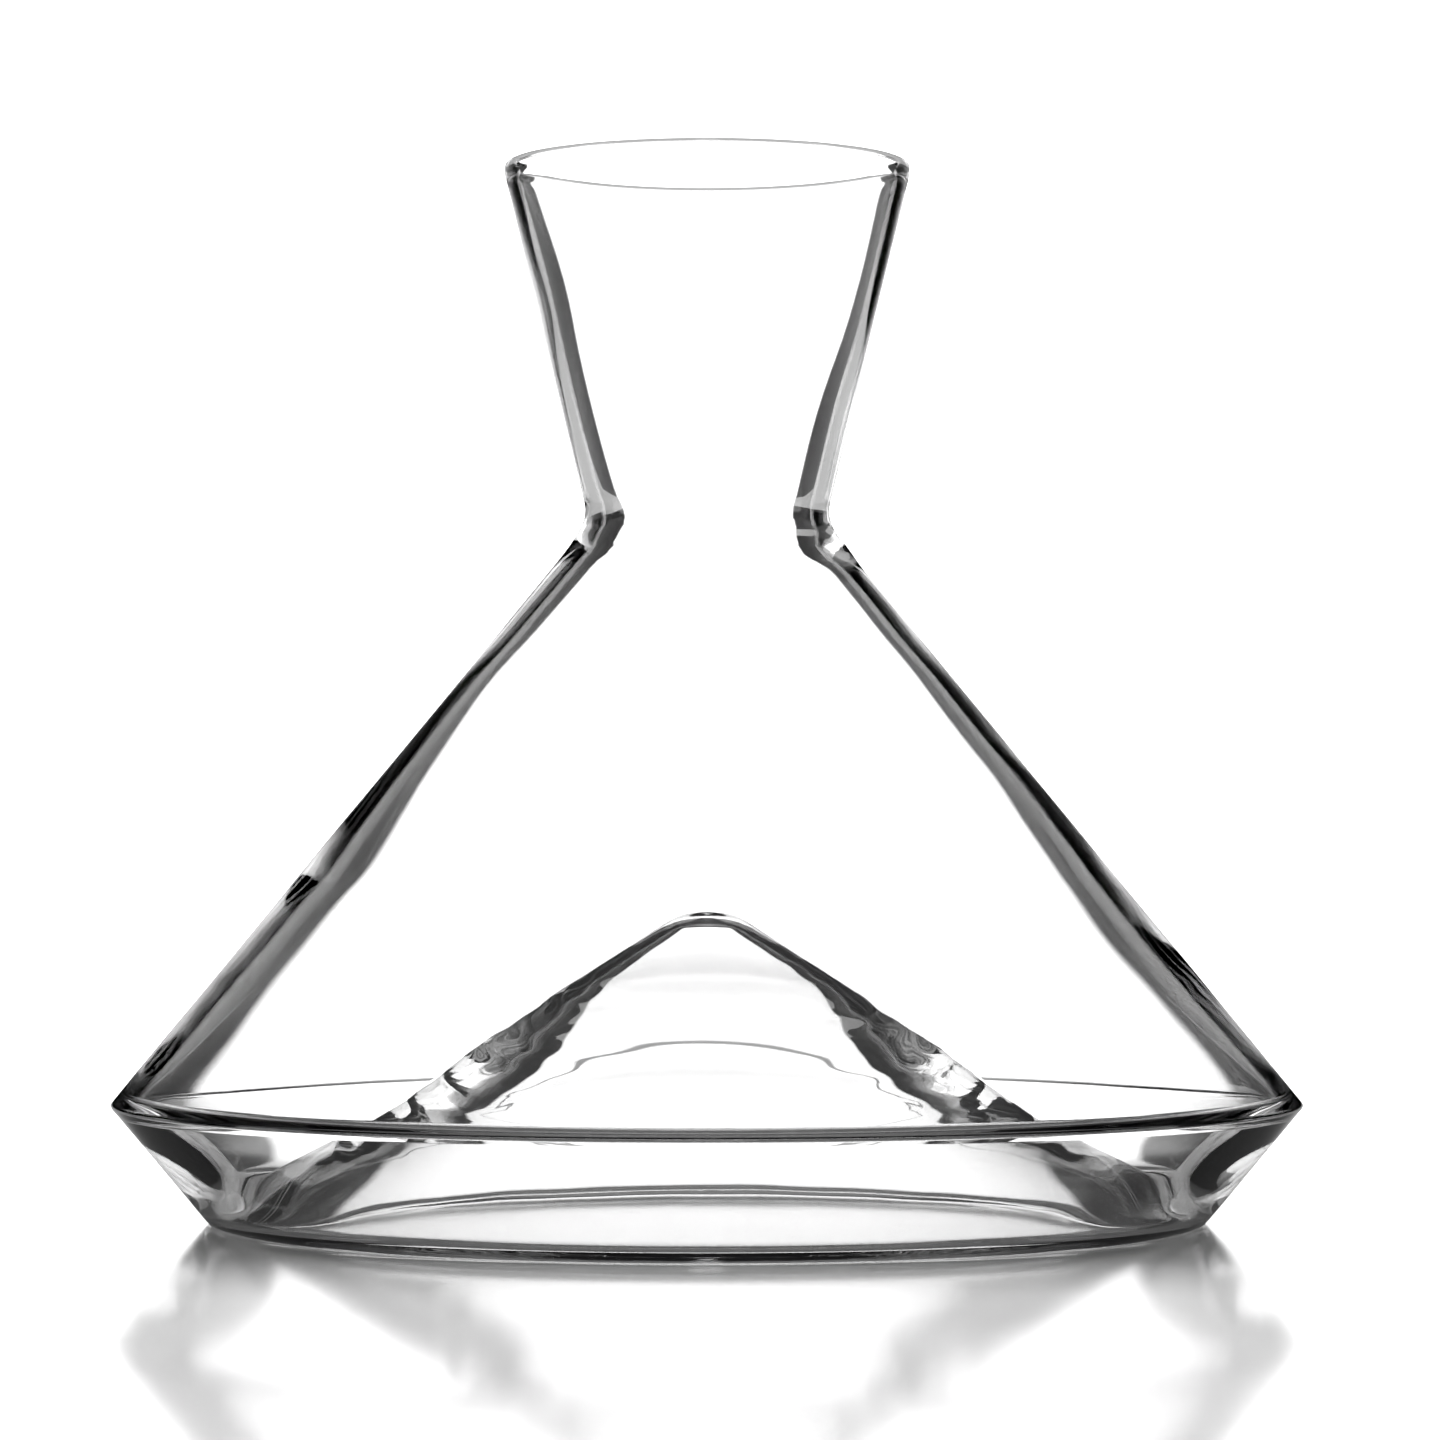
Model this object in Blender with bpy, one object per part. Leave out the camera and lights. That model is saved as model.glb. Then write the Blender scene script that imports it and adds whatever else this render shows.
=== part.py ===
"""Wine decanter of clear hand-blown glass, in metres, +Z up.

The decanter is one turned form: a flared mouth, a tight neck, a straight wide shoulder cone, a
sharp equator, a bevel that tucks in to the foot, and a hollow peak (the punt) that rises inside.
The glass is continuous. It is laid out here as nine coaxial zones that meet face to face. Level
planes divide it where the form changes, and an upright wall below the bottom of the wine channel
divides the foot from the toe of the punt.

The origin is the centre of the foot ring, on the plane that the decanter stands on.
"""

import math

import bmesh
import bpy
from mathutils import Vector

# Outside of the body: radius and height of each corner, before its edge is rounded.
MOUTH_RADIUS = 0.0382
MOUTH_HEIGHT = 0.1964
RIM_TOP = 0.1985
NECK_RADIUS = 0.0225
NECK_HEIGHT = 0.1318
COLLAR_RADIUS = 0.0253
COLLAR_HEIGHT = 0.1271
EQUATOR_RADIUS = 0.1115
EQUATOR_HEIGHT = 0.0220
FOOT_RADIUS = 0.0933
FOOT_RING_INNER_RADIUS = 0.0870

# Wall thickness, square to the outside, and the height at which each holds.
RIM_WALL = 0.0020
MOUTH_WALL = 0.0019
MOUTH_WALL_HEIGHT = 0.1950
FUNNEL_WALL = 0.0020
FUNNEL_WALL_HEIGHT = 0.1650
NECK_WALL = 0.0028
SHOULDER_WALL = 0.0025
SHOULDER_WALL_HEIGHT = 0.1050
BODY_WALL = 0.0032
BODY_WALL_HEIGHT = 0.0680
SKIRT_WALL = 0.0030
SKIRT_WALL_HEIGHT = 0.0450

# Wine side of the lower body: the collar, the equator, and the bottom of the channel round the punt.
INNER_COLLAR_RADIUS = 0.0226
INNER_COLLAR_HEIGHT = 0.1259
INNER_EQUATOR_RADIUS = 0.1076
INNER_EQUATOR_HEIGHT = 0.0226
CHANNEL_RADIUS = 0.0903
CHANNEL_HEIGHT = 0.0021

# The punt: height of the peak on each side, and the corners of each flank from the peak outwards.
PEAK_HEIGHT = 0.0573
PEAK_RADIUS = 0.0045
PEAK_FLANK = ((0.0285, 0.0423), (0.0560, 0.0235))
HOLLOW_HEIGHT = 0.0547
HOLLOW_RADIUS = 0.0037
HOLLOW_FLANK = ((0.0265, 0.0393), (0.0536, 0.0198))

# Level planes that divide the glass into zones.
RIM_CUT = 0.1900
MOUTH_CUT = 0.1370
NECK_CUT = 0.1230
SHOULDER_CUT = 0.0750
SKIRT_CUT = 0.0215
BASE_CUT = 0.0110

# Edge radii.
BEAD_ROUND = 0.0009
NECK_ROUND = 0.0070
COLLAR_ROUND = 0.0090
EQUATOR_ROUND = 0.0015
FOOT_ROUND = 0.0020
CHANNEL_ROUND = 0.0040
FLANK_ROUND = 0.0300
PEAK_ROUND = 0.0050

SEGMENTS = 64
ARC_STEP = math.radians(30.0)
CREASE_ANGLE = math.radians(35.0)
MERGE_DISTANCE = 0.00001

GLASS_COLOUR = (0.94, 0.96, 0.96, 1.0)
GLASS_ROUGHNESS = 0.02
GLASS_IOR = 1.50


def clear_scene():
    for obj in list(bpy.data.objects):
        bpy.data.objects.remove(obj, do_unlink=True)


def arc(before, corner, after, edge_radius):
    """Points of the arc that touches both sides of a corner, or the corner where it is sharp."""
    back = (before - corner).normalized()
    ahead = (after - corner).normalized()
    half_angle = back.angle(ahead) / 2
    turn = math.pi - 2 * half_angle
    steps = math.ceil(turn / ARC_STEP)
    if edge_radius == 0 or steps < 1:
        return [corner]
    centre = corner + (back + ahead).normalized() * edge_radius / math.sin(half_angle)
    reach = edge_radius / math.tan(half_angle)
    first = corner + back * reach - centre
    last = corner + ahead * reach - centre
    points = []
    for step in range(steps + 1):
        toward_last = math.sin(turn * step / steps) / math.sin(turn)
        toward_first = math.sin(turn * (1 - step / steps)) / math.sin(turn)
        points.append(centre + first * toward_first + last * toward_last)
    return points


def rounded(corners):
    """Chain of points through corners given as (radius, height, edge radius)."""
    points = [Vector(corners[0][:2])]
    for before, corner, after in zip(corners, corners[1:], corners[2:]):
        points += arc(Vector(before[:2]), Vector(corner[:2]), Vector(after[:2]), corner[2])
    points.append(Vector(corners[-1][:2]))
    return points


def inside_wall(top, bottom, height, wall):
    """The corner on the wine side that lies wall deep, square to an outside line, at a height."""
    top = Vector(top)
    bottom = Vector(bottom)
    outside = top.lerp(bottom, (top.y - height) / (top.y - bottom.y))
    along = (bottom - top).normalized()
    inside = outside + Vector((along.y, -along.x)) * wall
    return inside.x, inside.y, 0


def divided(chain, heights):
    """The stretches of a descending chain above, between and below the given heights."""
    stretches = [[chain[0]]]
    waiting = list(heights)
    for start, end in zip(chain, chain[1:]):
        while waiting and start.y > waiting[0] >= end.y:
            height = waiting.pop(0)
            crossing = start.lerp(end, (start.y - height) / (start.y - end.y))
            crossing.y = height
            stretches[-1].append(crossing)
            stretches.append([crossing])
        stretches[-1].append(end)
    return stretches


def body_outside():
    """Outside of the glass, from the middle of the rim to the inner edge of the foot ring."""
    return rounded([
        (MOUTH_RADIUS - RIM_WALL / 2, RIM_TOP, 0),
        (MOUTH_RADIUS, RIM_TOP, BEAD_ROUND),
        (MOUTH_RADIUS, MOUTH_HEIGHT, 0),
        (NECK_RADIUS, NECK_HEIGHT, NECK_ROUND),
        (COLLAR_RADIUS, COLLAR_HEIGHT, COLLAR_ROUND),
        (EQUATOR_RADIUS, EQUATOR_HEIGHT, EQUATOR_ROUND),
        (FOOT_RADIUS, 0, FOOT_ROUND),
        (FOOT_RING_INNER_RADIUS, 0, 0),
    ])


def body_inside():
    """Wine side of the glass, from the middle of the rim to the far side of the channel."""
    mouth = (MOUTH_RADIUS, MOUTH_HEIGHT)
    neck = (NECK_RADIUS, NECK_HEIGHT)
    collar = (COLLAR_RADIUS, COLLAR_HEIGHT)
    equator = (EQUATOR_RADIUS, EQUATOR_HEIGHT)
    return rounded([
        (MOUTH_RADIUS - RIM_WALL / 2, RIM_TOP, 0),
        (MOUTH_RADIUS - RIM_WALL, RIM_TOP, BEAD_ROUND),
        inside_wall(mouth, neck, MOUTH_WALL_HEIGHT, MOUTH_WALL),
        inside_wall(mouth, neck, FUNNEL_WALL_HEIGHT, FUNNEL_WALL),
        (NECK_RADIUS - NECK_WALL, NECK_HEIGHT, NECK_ROUND),
        (INNER_COLLAR_RADIUS, INNER_COLLAR_HEIGHT, NECK_ROUND),
        inside_wall(collar, equator, SHOULDER_WALL_HEIGHT, SHOULDER_WALL),
        inside_wall(collar, equator, BODY_WALL_HEIGHT, BODY_WALL),
        inside_wall(collar, equator, SKIRT_WALL_HEIGHT, SKIRT_WALL),
        (INNER_EQUATOR_RADIUS, INNER_EQUATOR_HEIGHT, 0),
        (CHANNEL_RADIUS, CHANNEL_HEIGHT, CHANNEL_ROUND),
        (PEAK_FLANK[-1][0], PEAK_FLANK[-1][1], 0),
    ])[:-1]


def punt_side(peak_radius, peak_height, flank, end):
    """One side of the punt, from its peak on the axis down the flank to the base."""
    corners = [(0, peak_height, 0), (peak_radius, peak_height, PEAK_ROUND)]
    corners += [(radius, height, FLANK_ROUND) for radius, height in flank]
    return rounded(corners + [(*end, 0)])


def glass(name):
    material = bpy.data.materials.new(f"{name}_glass")
    material.use_nodes = True
    shader = material.node_tree.nodes["Principled BSDF"]
    shader.inputs["Base Color"].default_value = GLASS_COLOUR
    shader.inputs["Metallic"].default_value = 0.0
    shader.inputs["Roughness"].default_value = GLASS_ROUGHNESS
    shader.inputs["IOR"].default_value = GLASS_IOR
    shader.inputs["Transmission Weight"].default_value = 1.0
    material.diffuse_color = GLASS_COLOUR
    return material


def turned(name, outline, closed, parent):
    """A zone of glass: the outline of its section, spun once about Z."""
    form = bmesh.new()
    section = [form.verts.new((point.x, 0, point.y)) for point in outline]
    for start, end in zip(section, section[1:]):
        form.edges.new((start, end))
    if closed:
        form.edges.new((section[-1], section[0]))
    bmesh.ops.spin(
        form,
        geom=section + form.edges[:],
        cent=(0, 0, 0),
        axis=(0, 0, 1),
        angle=math.tau,
        steps=SEGMENTS,
        use_merge=True,
    )
    bmesh.ops.remove_doubles(form, verts=form.verts[:], dist=MERGE_DISTANCE)
    bmesh.ops.recalc_face_normals(form, faces=form.faces[:])

    mesh = bpy.data.meshes.new(name)
    form.to_mesh(mesh)
    form.free()
    mesh.shade_smooth()
    mesh.set_sharp_from_angle(angle=CREASE_ANGLE)
    mesh.materials.append(glass(name))
    zone = bpy.data.objects.new(name, mesh)
    zone.parent = parent
    bpy.context.scene.collection.objects.link(zone)


def build():
    clear_scene()
    decanter = bpy.data.objects.new("decanter", None)
    bpy.context.scene.collection.objects.link(decanter)

    cuts = (RIM_CUT, MOUTH_CUT, NECK_CUT, SHOULDER_CUT, SKIRT_CUT, BASE_CUT)
    outside = divided(body_outside(), cuts)
    inside = divided(body_inside(), cuts)
    rings = ("mouth_rim", "mouth_funnel", "neck", "shoulder_cone", "skirt_cone", "heel_bevel")
    for name, outer, inner in zip(rings, outside, inside):
        turned(name, outer + inner[::-1], True, decanter)

    channel_edge = inside[-1][-1]
    foot_edge = (FOOT_RING_INNER_RADIUS, 0)
    wine_side = punt_side(PEAK_RADIUS, PEAK_HEIGHT, PEAK_FLANK, channel_edge)
    hollow_side = punt_side(HOLLOW_RADIUS, HOLLOW_HEIGHT, HOLLOW_FLANK, foot_edge)
    punt_top, punt_toe = divided(wine_side, [BASE_CUT])
    hollow_top, hollow_toe = divided(hollow_side, [BASE_CUT])
    turned("punt", punt_top + hollow_top[::-1], False, decanter)

    channel = inside[-1]
    lowest = channel.index(min(channel, key=lambda point: point.y))
    below_channel = Vector((channel[lowest].x, 0))
    foot = outside[-1][:-1] + [below_channel] + channel[lowest::-1]
    toe = channel[lowest:] + punt_toe[-2::-1] + hollow_toe + [below_channel]
    turned("foot_base", foot, True, decanter)
    turned("punt_toe", toe, True, decanter)


build()
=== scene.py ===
"""Wine decanter of clear hand-blown glass: looks.

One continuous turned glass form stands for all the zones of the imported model. It follows the same
section, with an uneven wall that is thickest near the left and right sides of the main view.
"""

import math

import bpy
import numpy as np
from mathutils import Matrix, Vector


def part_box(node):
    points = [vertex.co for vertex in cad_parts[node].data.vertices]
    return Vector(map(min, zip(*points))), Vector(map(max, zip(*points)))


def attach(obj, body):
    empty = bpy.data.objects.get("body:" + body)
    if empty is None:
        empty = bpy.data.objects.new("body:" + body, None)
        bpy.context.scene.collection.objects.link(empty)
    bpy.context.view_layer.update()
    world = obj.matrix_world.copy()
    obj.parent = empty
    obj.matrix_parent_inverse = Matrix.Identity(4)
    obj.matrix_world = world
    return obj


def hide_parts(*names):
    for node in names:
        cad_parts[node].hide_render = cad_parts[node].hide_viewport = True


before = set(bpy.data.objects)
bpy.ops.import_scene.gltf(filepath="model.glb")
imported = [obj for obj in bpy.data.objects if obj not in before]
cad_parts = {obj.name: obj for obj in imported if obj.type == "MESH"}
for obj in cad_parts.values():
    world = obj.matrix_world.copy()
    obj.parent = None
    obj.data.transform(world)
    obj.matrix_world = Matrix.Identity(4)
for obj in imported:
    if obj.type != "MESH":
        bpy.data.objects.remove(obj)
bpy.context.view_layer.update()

# Section of the glass, in metres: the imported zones' own corners.
RIM_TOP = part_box("mouth_rim")[1][2]
MOUTH_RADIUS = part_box("mouth_rim")[1][0]
MOUTH_HEIGHT = 0.1964
NECK_RADIUS = 0.0225
NECK_HEIGHT = 0.1318
COLLAR_RADIUS = 0.0253
COLLAR_HEIGHT = 0.1271
EQUATOR_RADIUS = 0.1115
EQUATOR_HEIGHT = 0.0220
FOOT_RADIUS = 0.0933
FOOT_RING_INNER_RADIUS = 0.0870

RIM_WALL = 0.0020
MOUTH_WALL = 0.0019
MOUTH_WALL_HEIGHT = 0.1950
FUNNEL_WALL = 0.0020
FUNNEL_WALL_HEIGHT = 0.1650
NECK_WALL = 0.0028
SHOULDER_WALL = 0.0025
SHOULDER_WALL_HEIGHT = 0.1050
BODY_WALL = 0.0032
BODY_WALL_HEIGHT = 0.0680
SKIRT_WALL = 0.0030
SKIRT_WALL_HEIGHT = 0.0450

INNER_COLLAR_RADIUS = 0.0226
INNER_COLLAR_HEIGHT = 0.1259
INNER_EQUATOR_RADIUS = 0.1076
INNER_EQUATOR_HEIGHT = 0.0226
CHANNEL_RADIUS = 0.0903
CHANNEL_HEIGHT = 0.0021

PEAK_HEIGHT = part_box("punt")[1][2]
PEAK_RADIUS = 0.0045
PEAK_FLANK = ((0.0285, 0.0423), (0.0560, 0.0235))
HOLLOW_HEIGHT = 0.0547
HOLLOW_RADIUS = 0.0037
HOLLOW_FLANK = ((0.0265, 0.0393), (0.0536, 0.0198))

BEAD_ROUND = 0.0009
NECK_ROUND = 0.0070
COLLAR_ROUND = 0.0090
WALL_ROUND = 0.1500
EQUATOR_ROUND = 0.0004
FOOT_ROUND = 0.0020
CHANNEL_ROUND = 0.0028
FLANK_ROUND = 0.0400
PEAK_ROUND = 0.0110

SEGMENTS = 216
ARC_STEP = math.radians(6.0)
INNER_EQUATOR_ROUND = 0.0002
MOUTH_ROUND = 0.0020
INNER_MOUTH_ROUND = 0.0100
FOOT_RING_ROUND = 0.0020

GLASS_IOR = 1.50
TABLE_IOR = 1.80
WINDOW_STRENGTH = 2.6
OVERHEAD_STRENGTH = 0.3

CAMERA_DISTANCE = 0.943
EYE_HEIGHT = 0.0777
CAMERA_SIDE = 0.0024
CAMERA_TILT = math.radians(0.97)
LENS = 125.3
TABLE_RADIUS = 4.0
TABLE_GLOW = 0.52
PALE_TABLE = (0.88, 0.88, 0.88, 1.0)
SHADED_TABLE = (0.14, 0.14, 0.14, 1.0)
SHADE_REACH = (0.11, 0.25)
SHADE_STRETCH = 1.5


def arc(before, corner, after, edge_radius):
    """Points of the arc that touches both sides of a corner."""
    back = (before - corner).normalized()
    ahead = (after - corner).normalized()
    half_angle = back.angle(ahead) / 2
    turn = math.pi - 2 * half_angle
    steps = math.ceil(turn / ARC_STEP)
    if edge_radius == 0 or steps < 1:
        return [corner]
    centre = corner + (back + ahead).normalized() * edge_radius / math.sin(half_angle)
    reach = edge_radius / math.tan(half_angle)
    first = corner + back * reach - centre
    last = corner + ahead * reach - centre
    points = []
    for step in range(steps + 1):
        toward_last = math.sin(turn * step / steps) / math.sin(turn)
        toward_first = math.sin(turn * (1 - step / steps)) / math.sin(turn)
        points.append(centre + first * toward_first + last * toward_last)
    return points


def rounded(corners):
    """Chain of points through corners given as (radius, height, edge radius)."""
    points = [Vector(corners[0][:2])]
    for before, corner, after in zip(corners, corners[1:], corners[2:]):
        points += arc(Vector(before[:2]), Vector(corner[:2]), Vector(after[:2]), corner[2])
    points.append(Vector(corners[-1][:2]))
    return np.array([tuple(point) for point in points])


def inside_wall(top, bottom, height, wall, edge_radius):
    """The corner on the wine side that lies wall deep, square to an outside line, at a height."""
    top = Vector(top)
    bottom = Vector(bottom)
    outside = top.lerp(bottom, (top.y - height) / (top.y - bottom.y))
    along = (bottom - top).normalized()
    inside = outside + Vector((along.y, -along.x)) * wall
    return inside.x, inside.y, edge_radius


def section():
    """The section's wine side, from the peak up to the rim, and its outside, from there down."""
    mouth = (MOUTH_RADIUS, MOUTH_HEIGHT)
    neck = (NECK_RADIUS, NECK_HEIGHT)
    collar = (COLLAR_RADIUS, COLLAR_HEIGHT)
    equator = (EQUATOR_RADIUS, EQUATOR_HEIGHT)
    wine_side = [(0, PEAK_HEIGHT, 0), (PEAK_RADIUS, PEAK_HEIGHT, PEAK_ROUND)]
    wine_side += [(radius, height, FLANK_ROUND) for radius, height in PEAK_FLANK]
    wine_side += [
        (CHANNEL_RADIUS, CHANNEL_HEIGHT, CHANNEL_ROUND),
        (INNER_EQUATOR_RADIUS, INNER_EQUATOR_HEIGHT, INNER_EQUATOR_ROUND),
        inside_wall(collar, equator, SKIRT_WALL_HEIGHT, SKIRT_WALL, WALL_ROUND),
        inside_wall(collar, equator, BODY_WALL_HEIGHT, BODY_WALL, WALL_ROUND),
        inside_wall(collar, equator, SHOULDER_WALL_HEIGHT, SHOULDER_WALL, WALL_ROUND),
        (INNER_COLLAR_RADIUS, INNER_COLLAR_HEIGHT, NECK_ROUND),
        (NECK_RADIUS - NECK_WALL, NECK_HEIGHT, NECK_ROUND),
        inside_wall(mouth, neck, FUNNEL_WALL_HEIGHT, FUNNEL_WALL, WALL_ROUND),
        inside_wall(mouth, neck, MOUTH_WALL_HEIGHT, MOUTH_WALL, INNER_MOUTH_ROUND),
        (MOUTH_RADIUS - RIM_WALL, RIM_TOP, BEAD_ROUND),
        (MOUTH_RADIUS - RIM_WALL / 2, RIM_TOP, 0),
    ]
    outside = [
        (MOUTH_RADIUS - RIM_WALL / 2, RIM_TOP, 0),
        (MOUTH_RADIUS, RIM_TOP, BEAD_ROUND),
        (MOUTH_RADIUS, MOUTH_HEIGHT, MOUTH_ROUND),
        (NECK_RADIUS, NECK_HEIGHT, NECK_ROUND),
        (COLLAR_RADIUS, COLLAR_HEIGHT, COLLAR_ROUND),
        (EQUATOR_RADIUS, EQUATOR_HEIGHT, EQUATOR_ROUND),
        (FOOT_RADIUS, 0, FOOT_ROUND),
        (FOOT_RING_INNER_RADIUS, 0, FOOT_RING_ROUND),
    ]
    outside += [(radius, height, FLANK_ROUND) for radius, height in reversed(HOLLOW_FLANK)]
    outside += [(HOLLOW_RADIUS, HOLLOW_HEIGHT, PEAK_ROUND), (0, HOLLOW_HEIGHT, 0)]
    return rounded(wine_side), rounded(outside)


def hump(value, centre, width):
    return np.exp(-(((value - centre) / width) ** 2))


def beyond(value, edge, width):
    """A smooth step from 0 to 1 as a value passes an edge."""
    return 1 / (1 + np.exp((edge - value) / width))


def spaced(chain, spacing):
    """The chain resampled at a spacing that is a function of (radius, height)."""
    steps = np.hypot(*np.diff(chain, axis=0).T)
    length = np.concatenate([[0], np.cumsum(steps)])
    fine = np.linspace(0, length[-1], 20000)
    radius = np.interp(fine, length, chain[:, 0])
    height = np.interp(fine, length, chain[:, 1])
    density = 1 / spacing(radius, height)
    count = np.concatenate([[0], np.cumsum((density[1:] + density[:-1]) / 2 * np.diff(fine))])
    marks = np.interp(np.linspace(0, count[-1], round(count[-1]) + 1), count, fine)
    return np.stack([np.interp(marks, fine, radius), np.interp(marks, fine, height)], axis=1)


def ring_spacing(radius, height):
    rim = hump(height, RIM_TOP, 0.004)
    neck = hump(height, NECK_HEIGHT, 0.012)
    equator = hump(height, EQUATOR_HEIGHT, 0.004) * (radius > 0.1)
    base = 1 / (1 + np.exp((height - 0.060) / 0.003)) * (radius < 0.1)
    return 1 / (1 / 0.0040 + rim / 0.00045 + neck / 0.0025 + equator / 0.0008 + base / 0.0014)


def unevenness(wine_side, along, radius, height, angle):
    """How far the glass stands out from the even section, in metres, for each ring and angle.

    The unevenness gathers at the left and right sides, where the wall is seen edge-on from the
    front, and the front and back stay nearly even.
    """
    edges = np.cos(angle) ** 6
    right = edges * (np.cos(angle) > 0)
    left = edges * (np.cos(angle) < 0)
    away_from_axis = radius / (radius + 0.012)
    below_rim = 1 - hump(height, RIM_TOP, 0.012)
    above_foot = 1 - hump(height, 0.0, 0.003)

    slow = 0.00005 * np.sin(math.tau * along / 0.058 + 1.9 * np.cos(angle - 0.7))
    slow = slow + 0.00001 * np.sin(math.tau * along / 0.024 + 1.4 * np.sin(2 * angle + 0.5))
    offset = slow * (0.10 + 0.90 * edges)

    base = hump(height, 0.032, 0.014) * (radius < 0.070)
    ripple = np.sin(math.tau * along / 0.0083 + 2.4 * np.sin(angle + 1.0))
    ripple = ripple + 0.7 * np.sin(math.tau * along / 0.0057 + 1.8 * np.cos(2 * angle))
    offset = offset + base * ripple * 0.00007 * (0.03 + 0.97 * edges)

    in_neck = radius < 0.035
    in_body = radius > 0.060
    in_punt = radius < 0.060
    reeds = 0.00004 * np.sin(math.tau * height / 0.0019) * hump(height, 0.1935, 0.0030)
    offset = offset + reeds * (right + 0.5 * left)
    offset = offset + 0.0005 * right * hump(height, 0.1262, 0.0022) * in_neck
    offset = offset + 0.0003 * left * hump(height, 0.1290, 0.0030) * in_neck
    if wine_side:
        offset = offset + 0.0002 * left * hump(height, 0.176, 0.022)
        offset = offset + 0.0002 * right * hump(height, 0.150, 0.016) * (radius < 0.04)
        offset = offset + 0.0002 * left * hump(height, 0.058, 0.018) * in_body
        offset = offset + 0.0001 * right * hump(height, 0.058, 0.018) * in_body
        heel = hump(height, 0.0115, 0.0080) * beyond(radius, 0.0935, 0.0012)
        offset = offset + 0.0014 * (right + left) * heel
        offset = offset + 0.0007 * (right + left) * hump(height, 0.033, 0.005) * (radius < 0.086)
    else:
        offset = offset + 0.00006 * left * hump(height, 0.0680, 0.0060)
        offset = offset + 0.00008 * right * hump(height, 0.0760, 0.0055)
        offset = offset - 0.0008 * hump(height, 0.0500, 0.0100) * in_punt
        offset = offset + 0.0012 * (right + left) * hump(height, 0.026, 0.009) * (radius < 0.086)
    return offset * away_from_axis * below_rim * above_foot


def side_points(chain, wine_side, angles):
    """Rings of points along one side of the section, moved off it by the unevenness."""
    steps = np.hypot(*np.diff(chain, axis=0).T)
    along = np.concatenate([[0], np.cumsum(steps)])
    tangent = np.gradient(chain, along, axis=0)
    tangent /= np.hypot(*tangent.T)[:, None]
    normal = np.stack([-tangent[:, 1], tangent[:, 0]], axis=1)
    radius, height = chain.T
    offset = unevenness(wine_side, along[:, None], radius[:, None], height[:, None], angles[None])
    level = radius[:, None] + normal[:, :1] * offset
    rise = height[:, None] + normal[:, 1:] * offset
    return np.stack([level * np.cos(angles), level * np.sin(angles), rise], axis=2)


def glass_mesh():
    wine_side, outside = section()
    wine_side = spaced(wine_side, ring_spacing)
    outside = spaced(outside, ring_spacing)
    angles = np.linspace(0, math.tau, SEGMENTS, endpoint=False)
    rings = np.concatenate([
        side_points(wine_side, True, angles)[1:],
        side_points(outside, False, angles)[1:-1],
    ])
    rows = len(rings)
    peak = rows * SEGMENTS
    hollow = peak + 1
    tips = [[0, 0, wine_side[0, 1]], [0, 0, outside[-1, 1]]]
    points = np.concatenate([rings.reshape(-1, 3), tips])
    faces = []
    for row in range(rows - 1):
        for step in range(SEGMENTS):
            after = (step + 1) % SEGMENTS
            here = row * SEGMENTS
            below = here + SEGMENTS
            faces.append((here + step, below + step, below + after, here + after))
    last = (rows - 1) * SEGMENTS
    for step in range(SEGMENTS):
        after = (step + 1) % SEGMENTS
        faces.append((peak, step, after))
        faces.append((last + step, hollow, last + after))
    mesh = bpy.data.meshes.new("decanter_glass")
    mesh.from_pydata(points.tolist(), [], faces)
    mesh.update()
    mesh.shade_smooth()
    return mesh


def material_nodes(name):
    """A new material, its Principled shader, and makers for nodes and links in its tree."""
    material = bpy.data.materials.new(name)
    material.use_nodes = True
    tree = material.node_tree
    return material, tree.nodes["Principled BSDF"], tree.nodes.new, tree.links.new


def noise(new, link, coordinates, scale, detail):
    texture = new("ShaderNodeTexNoise")
    texture.inputs["Scale"].default_value = scale
    texture.inputs["Detail"].default_value = detail
    link(coordinates, texture.inputs["Vector"])
    return texture.outputs["Fac"]


def between(new, link, value, low, high, out_low, out_high):
    """A smooth step of a value from one range to another."""
    step = new("ShaderNodeMapRange")
    step.interpolation_type = "SMOOTHSTEP"
    step.inputs["From Min"].default_value = low
    step.inputs["From Max"].default_value = high
    step.inputs["To Min"].default_value = out_low
    step.inputs["To Max"].default_value = out_high
    link(value, step.inputs["Value"])
    return step.outputs["Result"]


def bump(new, link, height, distance, strength):
    relief = new("ShaderNodeBump")
    relief.inputs["Distance"].default_value = distance
    relief.inputs["Strength"].default_value = strength
    link(height, relief.inputs["Height"])
    return relief.outputs["Normal"]


def glass_material():
    """Clear glass, its skin gently uneven and here and there a trace less bright."""
    material, shader, new, link = material_nodes("blown_glass")
    shader.inputs["Base Color"].default_value = (1.0, 1.0, 1.0, 1.0)
    shader.inputs["IOR"].default_value = GLASS_IOR
    shader.inputs["Transmission Weight"].default_value = 1.0
    place = new("ShaderNodeTexCoord").outputs["Object"]
    haze = noise(new, link, place, 24.0, 3.0)
    link(between(new, link, haze, 0.45, 0.80, 0.0, 0.02), shader.inputs["Roughness"])
    skin = noise(new, link, place, 60.0, 1.0)
    link(bump(new, link, skin, 0.0004, 0.02), shader.inputs["Normal"])
    return material


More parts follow.
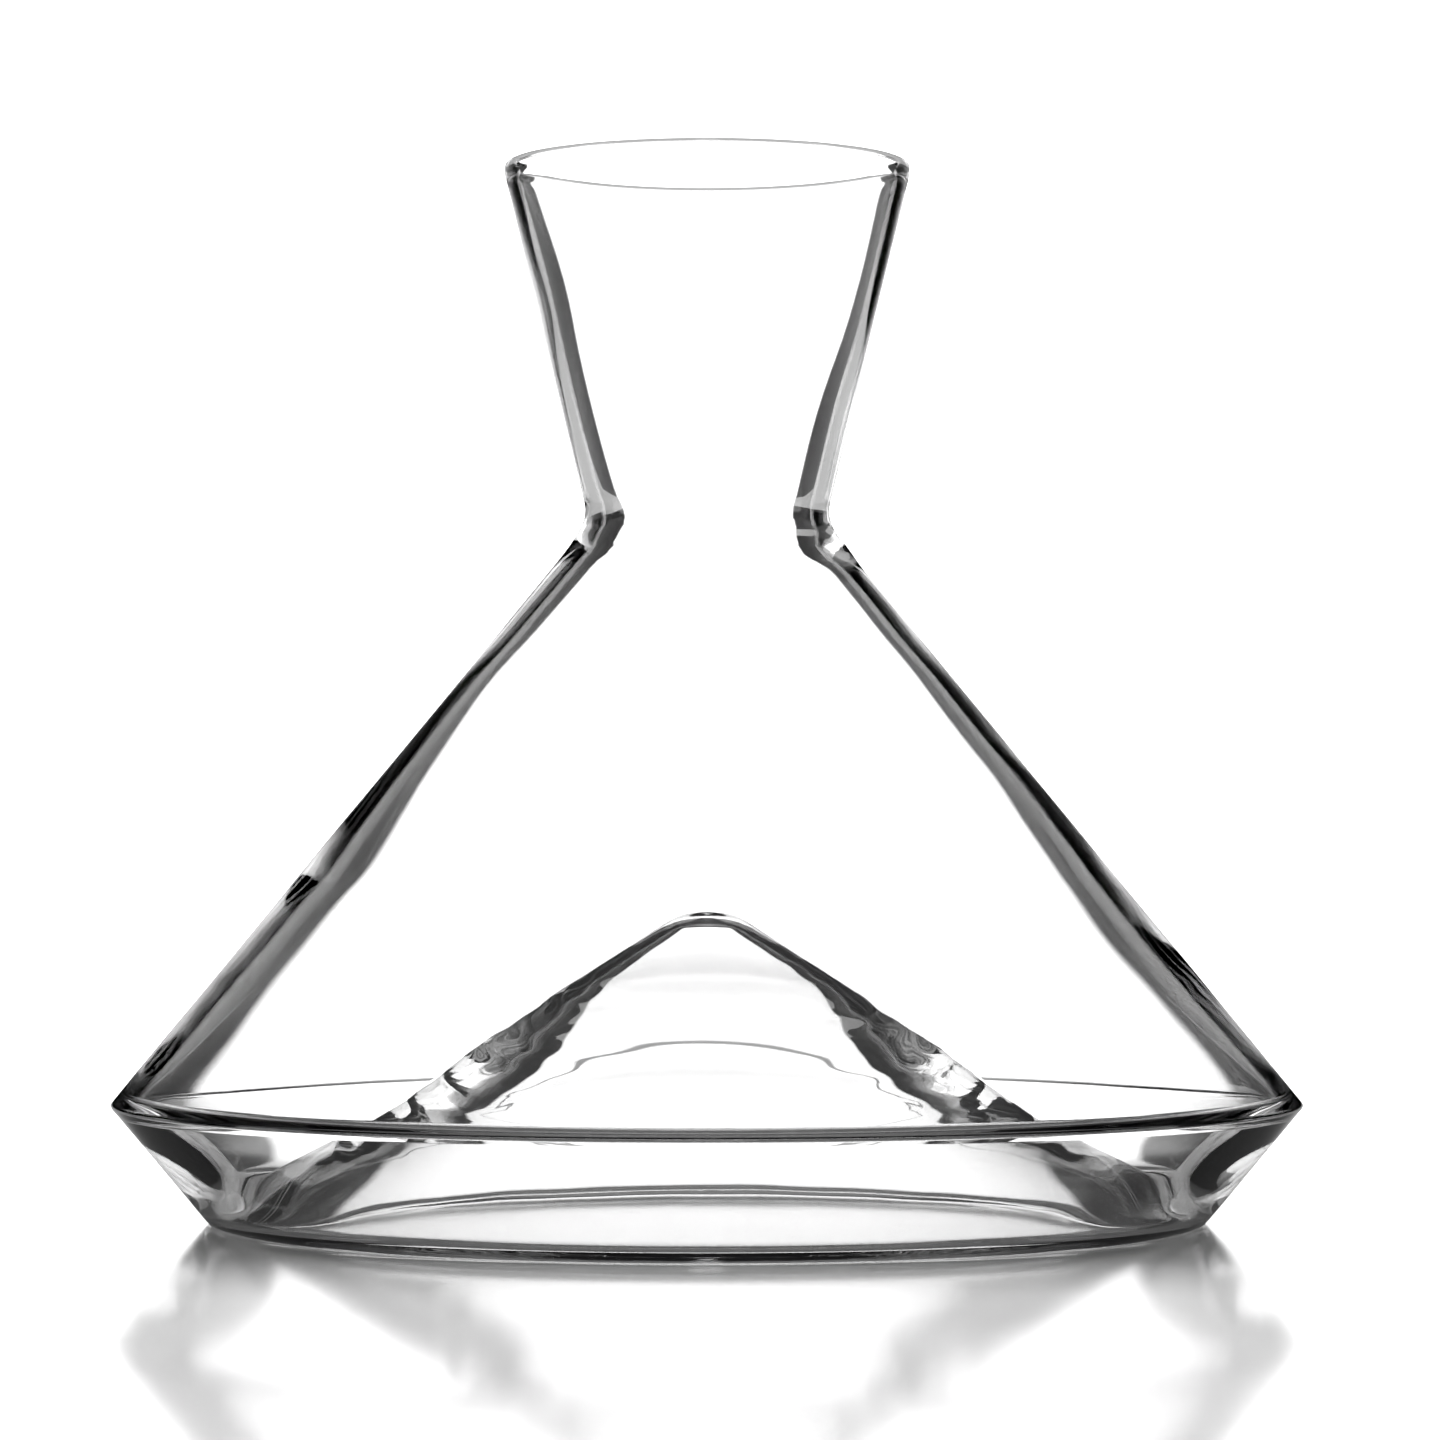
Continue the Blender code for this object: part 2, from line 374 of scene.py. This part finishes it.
def table_material():
    """Pale polished table that glows, with a soft shade painted around the foot into both its
    colour and its glow.
    """
    material, shader, new, link = material_nodes("pale_table")
    place = new("ShaderNodeTexCoord").outputs["Object"]
    stretched = new("ShaderNodeVectorMath")
    stretched.operation = "MULTIPLY"
    stretched.inputs[1].default_value = (1.0, SHADE_STRETCH, 1.0)
    link(place, stretched.inputs[0])
    away = new("ShaderNodeVectorMath")
    away.operation = "LENGTH"
    link(stretched.outputs["Vector"], away.inputs[0])
    # Painted shade: colour and glow go from the shaded tone near the foot to the pale tone further
    # out, reaching less far front and back than to the sides.
    shade = new("ShaderNodeMix")
    shade.data_type = "RGBA"
    shade.inputs[6].default_value = SHADED_TABLE
    shade.inputs[7].default_value = PALE_TABLE
    colour = shade.outputs[2]
    distance = away.outputs["Value"]
    link(between(new, link, distance, *SHADE_REACH, 0.0, 1.0), shade.inputs["Factor"])
    link(colour, shader.inputs["Base Color"])
    link(colour, shader.inputs["Emission Color"])
    shader.inputs["Emission Strength"].default_value = TABLE_GLOW
    shader.inputs["IOR"].default_value = TABLE_IOR
    grain = noise(new, link, place, 9.0, 4.0)
    link(between(new, link, grain, 0.3, 0.7, 0.085, 0.115), shader.inputs["Roughness"])
    link(bump(new, link, grain, 0.0004, 0.1), shader.inputs["Normal"])
    return material


def table():
    bpy.ops.mesh.primitive_circle_add(vertices=128, radius=TABLE_RADIUS, fill_type="NGON")
    floor = bpy.context.object
    floor.name = "table"
    floor.location.z = -0.0002
    floor.data.materials.append(table_material())


def studio():
    """Tall white windows at right angles, black between them, and a soft light overhead."""
    world = bpy.data.worlds.new("studio")
    bpy.context.scene.world = world
    world.use_nodes = True
    tree = world.node_tree
    tree.nodes.clear()
    link = tree.links.new

    def math_node(operation, *values):
        node = tree.nodes.new("ShaderNodeMath")
        node.operation = operation
        for socket, value in zip(node.inputs, values):
            if isinstance(value, (int, float)):
                socket.default_value = value
            else:
                link(value, socket)
        return node.outputs[0]

    def ramp(value, low, high, out_low, out_high):
        node = tree.nodes.new("ShaderNodeMapRange")
        node.interpolation_type = "SMOOTHSTEP"
        node.inputs["From Min"].default_value = low
        node.inputs["From Max"].default_value = high
        for name, out in (("To Min", out_low), ("To Max", out_high)):
            if isinstance(out, (int, float)):
                node.inputs[name].default_value = out
            else:
                link(out, node.inputs[name])
        link(value, node.inputs["Value"])
        return node.outputs["Result"]

    direction = tree.nodes.new("ShaderNodeTexCoord").outputs["Generated"]
    parts = tree.nodes.new("ShaderNodeSeparateXYZ")
    link(direction, parts.inputs[0])
    azimuth = math_node("ARCTAN2", parts.outputs["Y"], parts.outputs["X"])
    wave = math_node("COSINE", math_node("MULTIPLY", azimuth, 4.0))
    windows = ramp(wave, 0.77, 0.81, 0.0, WINDOW_STRENGTH)
    walls = ramp(parts.outputs["Z"], 0.22, 0.28, windows, 0.0)
    light = ramp(parts.outputs["Z"], 0.70, 0.90, walls, OVERHEAD_STRENGTH)
    background = tree.nodes.new("ShaderNodeBackground")
    link(light, background.inputs["Strength"])
    output = tree.nodes.new("ShaderNodeOutputWorld")
    link(background.outputs[0], output.inputs["Surface"])


def camera():
    data = bpy.data.cameras.new("camera")
    data.lens = LENS
    data.sensor_width = 36.0
    data.clip_start = 0.05
    data.clip_end = 50.0
    eye = bpy.data.objects.new("camera", data)
    eye.location = (CAMERA_SIDE, -CAMERA_DISTANCE, EYE_HEIGHT)
    eye.rotation_euler = (math.pi / 2 + CAMERA_TILT, 0, 0)
    bpy.context.scene.collection.objects.link(eye)
    bpy.context.scene.camera = eye


def render_look():
    scene = bpy.context.scene
    scene.view_settings.view_transform = "Standard"
    scene.cycles.max_bounces = 48
    scene.cycles.transmission_bounces = 40
    scene.cycles.glossy_bounces = 16
    scene.cycles.denoising_input_passes = "RGB"


camera()
studio()
render_look()
table()

glass = bpy.data.objects.new("decanter_glass", glass_mesh())
glass.data.materials.append(glass_material())
bpy.context.scene.collection.objects.link(glass)
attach(glass, "root")
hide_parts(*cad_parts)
